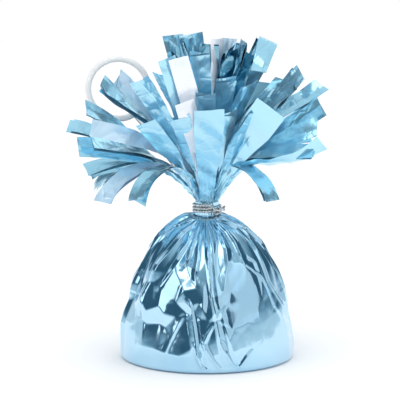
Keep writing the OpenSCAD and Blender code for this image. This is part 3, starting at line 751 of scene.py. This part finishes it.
def strip_film(tuft, k, layer, number, seed, shape, rough):
    """One strip of film from the neck to its tip, as rows of points."""
    draw = np.random.default_rng(seed).uniform
    v = np.linspace(0, 1, COLUMNS + 1)[None, :]
    body, crinkle = uncut_film(tuft, k, v, layer, number, draw)
    u = np.linspace(0, 1, CUT_ROWS)[1:, None]
    c = tuft.line(k, u[:, 0], shape)
    d = unit(tuft.line(k, np.minimum(1, u[:, 0] + 0.01), shape) - tuft.line(k, u[:, 0] - 0.01, shape))
    across = body[-1, -1] - body[-1, 0]
    start = np.linalg.norm(across)
    flat = unit(across[None, :] - d * (d @ across)[:, None])
    t = np.radians(shape[4] * np.sin(np.pi / 2 * u))
    w = flat * np.cos(t) + np.cross(d, flat) * np.sin(t)
    half = (start + (STRIP_W - start) * limited(2.5 * u)) / 2
    side = 2 * v - 1
    free = limited(3 * u)
    off = cut_relief(u, side, lengths(c)[-1], rough, draw) * free
    off = off + crinkle[None, :] * (1 - free) - layer * LAYER_FALL * free
    ends = draw(-1.2, 1.2) * side * limited((u - 0.8) / 0.2)
    rows = [body, laid(c, w, np.cross(d, w), d, half * side, off, ends)]
    if len(shape) > 5 and not layer:
        rows.append(rolled(c[-1], d[-1], w[-1], side, shape[5] * FRINGE_L, draw))
    return np.concatenate(rows)


ROLL_TURN, ROLL_R, ROLL_ROWS, HANG_ROWS, ROLL_SHIFT = 150.0, FRINGE_L * 0.035, 10, 16, 1.6


def rolled(tip, d, w, side, hang, draw):
    """Rows of a strip beyond its tip, where it rolls over towards the front and hangs down, narrower
    and a little further to the right."""
    n = np.cross(d, w)
    n = n if n[1] < 0 else -n
    turn = np.concatenate([np.linspace(0.1, 1, ROLL_ROWS), np.ones(HANG_ROWS)])[:, None]
    a = np.radians(ROLL_TURN * turn)
    share = np.concatenate([np.zeros(ROLL_ROWS), np.linspace(1 / HANG_ROWS, 1, HANG_ROWS)])[:, None]
    down = share * hang
    way = d * np.cos(a) + n * np.sin(a)
    c = tip + n * ROLL_R * (1 - np.cos(a)) + d * ROLL_R * np.sin(a) + way * down
    out = n * np.cos(a) - d * np.sin(a)
    off = (0.5 * (np.abs(side + 0.35) - 0.5) + 0.3 * triangle_wave(down / 7 + 0.2 * side)) * share
    ends = draw(-0.8, 0.8) * side * limited(share * 4 - 3)
    right = w * (1 if w[0] > 0 else -1)
    across = STRIP_W / 2 * side * (1 - 0.25 * share)
    return laid(c, w, out, way, across, off, ends) + right * (ROLL_SHIFT * share)[..., None]


# Film with painted shade (a darker copy of the foil, inside the plume) or painted highlight (paler copies
# of the foil), and the crinkle of the strips by tier
FILMS = {
    "fringe_top_middle_film": PAINTED_SHADE_FOIL, "fringe_top_middle_under": PAINTED_SHADE_FOIL,
    "fringe_top_left_under": PAINTED_SHADE_FOIL, "fringe_top_right_under": PAINTED_SHADE_FOIL,
    "fringe_mid_back_film": PAINTED_SHADE_FOIL, "fringe_back_right_film": PAINTED_HIGHLIGHT_FOIL,
    "fringe_back_right_under": PAINTED_SOFT_HIGHLIGHT_FOIL,
}
TIER_ROUGH = (0.12, 0.2, 0.34)
# Single strips with painted highlight, a paler copy of the foil, by tuft and place in it
PAINTED_SOFT_HIGHLIGHT_STRIPS = {("fringe_left_low", 1), ("fringe_mid_left", 1)}


def build_tuft(name, number):
    """The two layers of a tuft's film. The one below differs a little in each strip."""
    tuft = Tuft(*TUFTS[name])
    for layer in (0, 1):
        points, faces, painted_highlight_faces = [], [], []
        draw = np.random.default_rng(500 + 10 * number + layer).uniform
        for k, strip in enumerate(tuft.strips):
            shape = strip.copy()
            if layer:
                shape[:2] *= draw(0.96, 1.0)
                shape[2] += draw(-0.02, 0.015)
                shape[4] += draw(-8, 8)
            seed = 31 * number + 7 * k + layer
            rows = strip_film(tuft, k, layer, number, seed, shape, TIER_ROUGH[TUFTS[name][0]])
            gather(points, faces, rows)
            painted_highlight_faces += [int((name, k) in PAINTED_SOFT_HIGHLIGHT_STRIPS)] * (len(faces) - len(painted_highlight_faces))
        label = name + ("_under" if layer else "_film")
        obj = make_mesh(label, np.concatenate(points), faces, FILMS.get(label, STRIP_FOIL))
        # Faces of those strips take the paler foil copy: painted highlight
        if any(painted_highlight_faces):
            obj.data.materials.append(PAINTED_SOFT_HIGHLIGHT_FOIL)
            obj.data.polygons.foreach_set("material_index", painted_highlight_faces)
        merge_close(obj, 0.002)
        solidify(obj, STRIP_T)
        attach(obj, "weight")
        if not layer:
            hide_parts(name)


for number, name in enumerate(TUFTS):
    build_tuft(name, number)

# Strips that stand apart in the photograph: the places their middles pass through (x and y in the
# photograph, depth towards the back in millimetres, turn about their own length in degrees), the widths
# at the root and the tip in millimetres, and the foil, which on some is a paler copy with painted
# highlight or a darker copy with painted shade
RIBBONS = {
    "strip_painted_highlight": ([(206, 203, -2, 0), (203, 178, -9, 0), (199, 145, -19, 0), (191, 107, -27, 6),
        (179, 64, -30, 8)], 3.5, 7.4, PAINTED_HIGHLIGHT_FOIL),
    "strip_painted_highlight_edge": ([(205, 203, -2, 0), (200, 178, -8, 0), (193, 145, -17, 10), (182, 107, -25, 16),
        (168, 64, -28, 16)], 3.0, 7.0, STRIP_FOIL),
    "strip_sliver": ([(206, 203, -2, 0), (202, 176, -8, 0), (196, 145, -20, -6), (185, 106, -32, -6)],
        2.0, 7.4, PAINTED_HIGHLIGHT_FOIL),
    "strip_centre": ([(207, 204, -4, 0), (207, 176, -12, 4), (208, 142, -24, 4), (209, 114, -33, 2)],
        4.5, 10.9, STRIP_FOIL),
    "strip_panel": ([(210, 203, -2, 0), (221, 178, -7, -12), (239, 150, -17, -14), (257, 127, -30, -8),
        (268, 112, -34, -4)], 3.0, 12.4, STRIP_FOIL),
    "strip_sagging": ([(210, 202, -2, 0), (228, 181, -6, 40), (248, 165, -14, 66), (270, 164, -20, 68),
        (296, 158, -22, 58), (319, 145, -22, 36)], 3.0, 7.4, STRIP_FOIL),
    "strip_narrow": ([(211, 201, 1, 0), (238, 162, 4, 40), (275, 135, 6, 58), (312, 112, 8, 52)],
        3.0, 7.4, STRIP_FOIL),
    "strip_lying": ([(205, 202, -2, 0), (192, 178, -5, 14), (168, 152, -12, 30), (130, 138, -24, 34),
        (95, 130, -29, 30)], 3.0, 7.4, PAINTED_SOFT_HIGHLIGHT_FOIL),
    "strip_top": ([(208, 201, 1, 0), (212, 150, 4, 10), (218, 100, 6, 20), (230, 39, 6, 20)],
        3.0, 5.4, PAINTED_SOFT_HIGHLIGHT_FOIL),
    "strip_edge": ([(208, 201, -1, 0), (211, 140, -4, 40), (215, 90, -8, 56), (217, 42, -8, 56)],
        3.0, 7.4, PAINTED_HIGHLIGHT_FOIL),
    "strip_curved": ([(209, 201, 2, 0), (219, 150, 0, -24), (229, 105, -2, -30), (238, 72, -2, -30),
        (247, 54, -1, -26)], 3.0, 9.2, PAINTED_SHADE_FOIL),
    "strip_inside": ([(207, 201, 1, 0), (205, 150, 0, 0), (205, 105, 0, 4), (200, 68, 1, 8)],
        3.0, 11.0, PAINTED_SHADE_FOIL),
    "strip_crown_left": ([(206, 201, 0, 0), (199, 150, 2, 0), (187, 95, 3, 6), (173, 36, 4, 10)],
        3.0, 7.8, STRIP_FOIL),
    "strip_crown_middle": ([(207, 201, 0, 0), (203, 150, 0, 0), (198, 95, 0, -6), (191, 36, -1, -12)],
        3.0, 9.0, STRIP_FOIL),
    "strip_crown_right": ([(207, 201, -1, 0), (206, 150, -3, 0), (204, 100, -5, 8), (199, 48, -6, 16)],
        3.0, 5.4, STRIP_FOIL),
}


def spaced(line, count):
    """Points of a line at steps of equal length, and their lengths along it."""
    length = lengths(line[:, :3])
    marks = np.linspace(0, length[-1], count)
    return np.stack([np.interp(marks, length, column) for column in line.T], axis=1), marks


def through(points):
    """A smooth line through points."""
    p = np.array([2 * points[0] - points[1], *points, 2 * points[-1] - points[-2]])
    line = []
    for a, b, c, d in zip(p, p[1:], p[2:], p[3:]):
        t = np.linspace(0, 1, 24, endpoint=False)[:, None]
        line.append(0.5 * (2 * b + (c - a) * t + (2 * a - 5 * b + 4 * c - d) * t ** 2
                           + (3 * b - a - 3 * c + d) * t ** 3))
    return np.concatenate(line + [p[-2][None]])


RIBBON_ROWS, RIBBON_COLUMNS = 70, 17
# The way from the object to the camera, which the ribbons face before they turn
VIEW_WAY = np.array([0.0, -0.988, 0.156])


def ribbon_relief(name, u, side, half, length, draw):
    """How far a ribbon is off its middle plane, with folds near the root and creases."""
    free = limited(2 * u)
    off = draw(-0.3, 0.4) * (side ** 2 - 0.4) * free
    fold = draw(0.2, 0.6) * (np.abs(side - draw(-0.5, 0.5)) - 0.6)
    off = off + fold * (0.3 + 0.7 * (1 - u))
    off = off + draw(0.1, 0.3) * triangle_wave(2.2 * u + draw(-0.4, 0.4) * side) * free
    off = off + creased(u * length, side * half, 8.0, 0.3 if "crown" in name else 0.13, draw) * free
    off = off + 0.5 * triangle_wave(1.9 * side + draw(0, 1)) * np.maximum(0, 0.45 - u)
    return off + creased(u * length, side * half, 4.5, 0.28, draw) * limited(1.4 - 2 * u) * free


def ribbon(name, seed):
    """Rows of points of one strip, with its mean width and its length."""
    places, root, tip, _ = RIBBONS[name]
    spots = np.array([
        ((px - AXIS_X) * MM_ACROSS, depth, (FLOOR_Y - py) * MM_UP - DEPTH_RISE * depth, turn)
        for px, py, depth, turn in places
    ])
    line, marks = spaced(through(spots), RIBBON_ROWS)
    c, turn, length = line[:, :3], np.radians(line[:, 3])[:, None], marks[-1]
    d = unit(np.gradient(c, axis=0))
    flat = unit(np.cross(d, VIEW_WAY))
    for i in range(1, RIBBON_ROWS):
        if flat[i] @ flat[i - 1] < 0:
            flat[i] = -flat[i]
    w = flat * np.cos(turn) + np.cross(d, flat) * np.sin(turn)
    draw = np.random.default_rng(seed).uniform
    u, side = np.linspace(0, 1, RIBBON_ROWS)[:, None], np.linspace(-1, 1, RIBBON_COLUMNS)[None, :]
    half = (root + (tip - root) * limited(1.25 * u)) / 2
    off = ribbon_relief(name, u, side, half, length, draw)
    ends = draw(-0.9, 0.9) * side * limited((u - 0.85) / 0.15)
    return laid(c, w, np.cross(d, w), d, half * side, off, ends), float(np.mean(half)) * 2, length


def build_ribbons(label, material):
    """All strips that show one film, as one cut sheet."""
    points, faces, area, width, longest = [], [], 0.0, 0.0, 0.0
    for number, name in enumerate(RIBBONS):
        if RIBBONS[name][3] is not material:
            continue
        rows, wide, length = ribbon(name, 900 + number)
        gather(points, faces, rows)
        area += wide * length * MM * MM
        width += RIBBONS[name][2] * MM
        longest = max(longest, length * MM)
    obj = make_mesh(label, np.concatenate(points), faces, material)
    solidify(obj, STRIP_T)
    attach(obj, "weight")


# Besides the plain foil, the sheets are paler copies with painted highlight and a darker copy with painted
# shade
for ending, film in (("", STRIP_FOIL), ("_painted_highlight", PAINTED_HIGHLIGHT_FOIL), ("_painted_soft_highlight", PAINTED_SOFT_HIGHLIGHT_FOIL), ("_painted_shade", PAINTED_SHADE_FOIL)):
    build_ribbons("loose_strips" + ending, film)

# tie
# One turn of the cord, the knot at the front right where its ends meet, and the two twisted ends, with
# the shares of a lead's length that its curve keeps to the way of each end
WIND_R = NECK_R + CORD_GAP + CORD_D / 2
PITCH = CORD_D + TURN_GAP
WIND_Z = SHOULDER_Z + CORD_GAP + CORD_D / 2
KNOT = math.radians(-68)
KNOT_AWAY, KNOT_RISE = 2.26, 0.55
TAIL_R, TAIL_START, TAIL_TURNS = 0.62, 310.7, 0.87
LEAD_OUT, LEAD_IN, OUTWARDS = 0.65, 0.27, 0.54
STRAND_PITCH, CORD_SIDES = 3.2, 18
KNOT_OUT = np.array([math.cos(KNOT), math.sin(KNOT), 0.0])
KNOT_SIDE = np.array([-math.sin(KNOT), math.cos(KNOT), 0.0])
UP = np.array([0.0, 0.0, 1.0])
TAIL_AXIS = unit(KNOT_OUT + KNOT_SIDE * 0.78 + UP * 0.24)
TAIL_ACROSS = unit(np.cross(TAIL_AXIS, UP))
TAIL_UP = np.cross(TAIL_AXIS, TAIL_ACROSS)
KNOT_START = KNOT_OUT * (WIND_R + KNOT_AWAY) + UP * (WIND_Z + PITCH * TIE_TURNS / 2 + KNOT_RISE)


def wound(turns):
    a = KNOT + 2 * math.pi * turns
    return np.array([WIND_R * math.cos(a), WIND_R * math.sin(a), WIND_Z + PITCH * turns])


def tail_point(u, half_turn):
    a = math.radians(TAIL_START + half_turn + 360 * TAIL_TURNS * u)
    out = TAIL_ACROSS * math.cos(a) + TAIL_UP * math.sin(a)
    return KNOT_START + TAIL_AXIS * PIGTAIL_L * u + out * TAIL_R


def lead(p, p_dir, q, q_dir, u):
    h = np.linalg.norm(q - p)
    return curve(p, p + p_dir * h * LEAD_OUT, q - q_dir * h * LEAD_IN, q, np.array([u]))[0]


def outwards(p, way):
    return unit(unit(way) + unit(np.array([p[0], p[1], 0.0])) * OUTWARDS)


# Steps of a whole turn and of a twisted end, the steps of the winding that each lead stands for, and the
# places of a lead's own points along it
TURN_STEPS, TAIL_STEPS, LEAD_STEPS = 48, 14, 2
LEAD_SHARES = (0.2, 0.4, 0.6, 0.8)


def tie_path():
    """The cord's middle line: a twisted end, its lead, the winding, the other lead and its end."""
    start = LEAD_STEPS / TURN_STEPS
    first, last = wound(start), wound(TIE_TURNS - start)
    back = outwards(first, wound(0) - wound(2 * start))
    ahead = outwards(last, wound(TIE_TURNS) - wound(TIE_TURNS - 2 * start))
    low, high = tail_point(0, 180), tail_point(0, 0)
    path = [tail_point(i / TAIL_STEPS, 180) for i in range(TAIL_STEPS, -1, -1)]
    path += [lead(first, back, low, TAIL_AXIS, u) for u in LEAD_SHARES[::-1]]
    path += [wound(i / TURN_STEPS) for i in range(LEAD_STEPS, TURN_STEPS * TIE_TURNS - LEAD_STEPS + 1)]
    path += [lead(last, ahead, high, TAIL_AXIS, u) for u in LEAD_SHARES]
    path += [tail_point(i / TAIL_STEPS, 0) for i in range(TAIL_STEPS + 1)]
    return np.array(path)


def frames(path):
    """Two directions square to a path at each of its points, which don't twist along it."""
    way = unit(np.gradient(path, axis=0))
    normals = [unit(np.array([0, 0.1, 1.0]) - way[0] * way[0, 2])]
    for i in range(1, len(path)):
        normals.append(unit(normals[-1] - way[i] * (normals[-1] @ way[i])))
    normals = np.array(normals)
    return normals, np.cross(way, normals)


def tube_faces(rows, columns):
    """Faces round a closed section, with a cap at each end."""
    caps = [tuple(range(columns - 1, -1, -1)), tuple((rows - 1) * columns + i for i in range(columns))]
    return grid_faces(rows, columns, closed=True) + caps


def build_tie():
    """One cord of three twisted strands, wound round the neck, with its ends twisted together."""
    path = tie_path()
    path, marks = spaced(path, int(lengths(path)[-1] / 0.14) + 1)
    for _ in range(2):
        path[1:-1] = path[1:-1] * 0.5 + (path[:-2] + path[2:]) * 0.25
    m, b = frames(path)
    theta = np.arange(CORD_SIDES) * 2 * math.pi / CORD_SIDES
    turn = marks[:, None] * 2 * math.pi / STRAND_PITCH
    bulge = np.abs(np.cos(1.5 * (theta[None, :] - turn)))
    radius = CORD_D / 2 * (1.04 + 0.32 * bulge)
    taper = np.minimum(1.0, 0.55 + np.minimum(marks, marks[-1] - marks) / 0.4)[:, None]
    ring = m[:, None, :] * np.cos(theta)[None, :, None] + b[:, None, :] * np.sin(theta)[None, :, None]
    points = (path[:, None, :] + ring * (radius * taper)[..., None]).reshape(-1, 3)
    obj = make_mesh("tie_cord", points, tube_faces(len(path), CORD_SIDES), CORD)
    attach(obj, "weight")
    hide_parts("neck_tie")


build_tie()

# strap and ring
RING_D, RING_MID_R = 2.5, 11.25
STRAP_W, STRAP_T, STRAP_L, FOOT_W, PINCH_L = 3.5, 0.35, 41.0, 2.0, 12.0
LOOP_R = RING_D / 2 + 0.3 + STRAP_W ** 2 / (8 * RING_MID_R)
STRAP_ROOT = np.array([-1.6, NECK_R + STRAP_T, FRINGE_Z + 0.55])
LEAN = math.radians(37.5)


def leaned(points):
    x, y, z = points[..., 0], points[..., 1], points[..., 2]
    across, up = x * math.cos(LEAN) - z * math.sin(LEAN), x * math.sin(LEAN) + z * math.cos(LEAN)
    return np.stack([across, y, up], -1) + STRAP_ROOT


def build_strap():
    """A doubled film: up one side, round the ring's section and back down."""
    gap, r = STRAP_T * 0.55, LOOP_R + STRAP_T / 2
    rise = STRAP_L - 3 * LOOP_R
    # Half of its middle line, from the root to the loop's side, and the loop
    up = [(-gap, z) for z in np.linspace(0.0, rise, 40)]
    up += [(-(gap + (r - gap) * t), rise + (STRAP_L - rise) * t) for t in np.linspace(0.08, 0.92, 12)]
    open_by = math.atan2(r - gap, 3 * LOOP_R) * 0.4
    turn = np.linspace(open_by, math.pi - open_by, 36)
    loop = [(-r * math.cos(a), STRAP_L + r * math.sin(a)) for a in turn]
    line = np.array(up + loop + [(-y, z) for y, z in reversed(up)])
    way = unit(np.gradient(line, axis=0))
    z = line[:, 1]
    wide = np.interp(z, [0, PINCH_L, STRAP_L], [FOOT_W, STRAP_W, STRAP_W])
    # It curls across and ripples along, less and less towards the loop
    loose = limited((rise - z) / 6)
    outer, inner = [], []
    for v in np.linspace(-1, 1, 7):
        curl = 0.032 * (v * v - 0.4) * loose
        for shell, off in ((outer, STRAP_T / 2), (inner, -STRAP_T / 2)):
            y = line[:, 0] - way[:, 1] * (off + curl) + 0.03 * np.sin(z * 1.1) * loose
            shell.append(np.stack([v * wide / 2, y, z + way[:, 0] * off], axis=-1))
    ring = np.stack(outer + inner[::-1], axis=1)
    points = leaned(ring).reshape(-1, 3)
    obj = make_mesh("strap_film", points, tube_faces(len(line), ring.shape[1]), FILM)
    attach(obj, "strap")
    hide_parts("ring_strap")


build_strap()
for node, material in (("tying_ring", RING), ("weight_cup", CUP), ("base_disc", CUP), ("sand_fill", SAND)):
    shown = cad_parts[node]
    shown.data.materials.clear()
    shown.data.materials.append(material)


# floor and light
# What mirrors show of the room, and the light that falls on everything else, by the way up: 0.5 is the
# horizon and 1 is straight up
MIRROR_ROOM = [
    (0.5, (0.72, 0.81, 0.85)), (0.545, (0.62, 0.74, 0.80)), (0.58, (0.24, 0.37, 0.45)),
    (0.62, (0.05, 0.12, 0.17)), (0.74, (0.04, 0.11, 0.16)), (0.82, (0.27, 0.40, 0.47)),
    (0.91, (0.62, 0.74, 0.80)), (1.0, (0.80, 0.87, 0.90)),
]
PLAIN_LIGHT = [(0.5, (0.36, 0.37, 0.38)), (1.0, (1.36, 1.37, 1.38))]
FLOOR_HALF = 1300
# Soft panels that face the object: azimuth from the front and elevation in degrees, distance, width and
# height in metres, and the brightness that a mirror shows
LAMPS = {
    "light_right": (58, 27.5, 1.5, 1.7, 1.05, 0.68),
    "light_left": (-62, 26, 1.5, 0.7, 0.6, 1.35),
    "light_high": (-20, 58, 1.4, 0.8, 0.4, 1.6),
    "light_back": (150, 40, 1.5, 0.9, 0.6, 0.9),
}
LAMP_AIM = 0.05


def build_floor():
    """A wide white floor, which keeps the shadow."""
    white = Surface("white_floor", Base_Color=(0.96, 0.96, 0.96, 1.0), Roughness=0.8,
                    Specular_IOR_Level=0.1)
    ends = (-FLOOR_HALF, FLOOR_HALF)
    points = [(x, y, FLOOR_Z) for y in ends for x in ends]
    make_mesh("floor", points, [(0, 1, 3, 2)], white.mat)


def soft_light(name, azimuth, height, away, width, tall, level):
    data = bpy.data.lights.new(name, "AREA")
    data.shape = "RECTANGLE"
    data.size, data.size_y = width, tall
    data.energy = level * math.pi * width * tall
    lamp = bpy.data.objects.new(name, data)
    scene.collection.objects.link(lamp)
    a, e = math.radians(azimuth), math.radians(height)
    out = away * math.cos(e)
    lamp.location = (out * math.sin(a), -out * math.cos(a), away * math.sin(e) + LAMP_AIM)
    aim(lamp, (0, 0, LAMP_AIM))


def mixed(tree, share, one, other):
    node = add(tree, "ShaderNodeMixShader")
    for socket, source in zip(node.inputs, (share, one, other)):
        tree.links.new(source, socket)
    return node.outputs[0]


def build_world():
    """Mirrors show the room, the rest is lit by the plain light, and the camera sees plain white."""
    world = bpy.data.worlds.new("studio")
    scene.world = world
    world.use_nodes = True
    tree = world.node_tree
    link = tree.links.new
    axes = add(tree, "ShaderNodeSeparateXYZ")
    link(add(tree, "ShaderNodeTexCoord").outputs["Generated"], axes.inputs[0])
    up = add(tree, "ShaderNodeMapRange", **{"From Min": -1.0})
    link(axes.outputs["Z"], up.inputs["Value"])
    room, plain = tree.nodes["Background"], add(tree, "ShaderNodeBackground")
    for light, stops in ((room, MIRROR_ROOM), (plain, PLAIN_LIGHT)):
        link(ramp(tree, up.outputs["Result"], stops), light.inputs["Color"])
    white = add(tree, "ShaderNodeBackground", Color=(1.0, 1.0, 1.0, 1.0))
    rays = add(tree, "ShaderNodeLightPath")
    sharp = add(tree, "ShaderNodeMath", operation="MAXIMUM")
    link(rays.outputs["Is Glossy Ray"], sharp.inputs[0])
    link(rays.outputs["Is Transmission Ray"], sharp.inputs[1])
    lit = mixed(tree, sharp.outputs[0], plain.outputs[0], room.outputs[0])
    seen = mixed(tree, rays.outputs["Is Camera Ray"], lit, white.outputs[0])
    link(seen, tree.nodes["World Output"].inputs["Surface"])


build_floor()
build_world()
for name, lamp_values in LAMPS.items():
    soft_light(name, *lamp_values)
scene.view_settings.view_transform = "Standard"
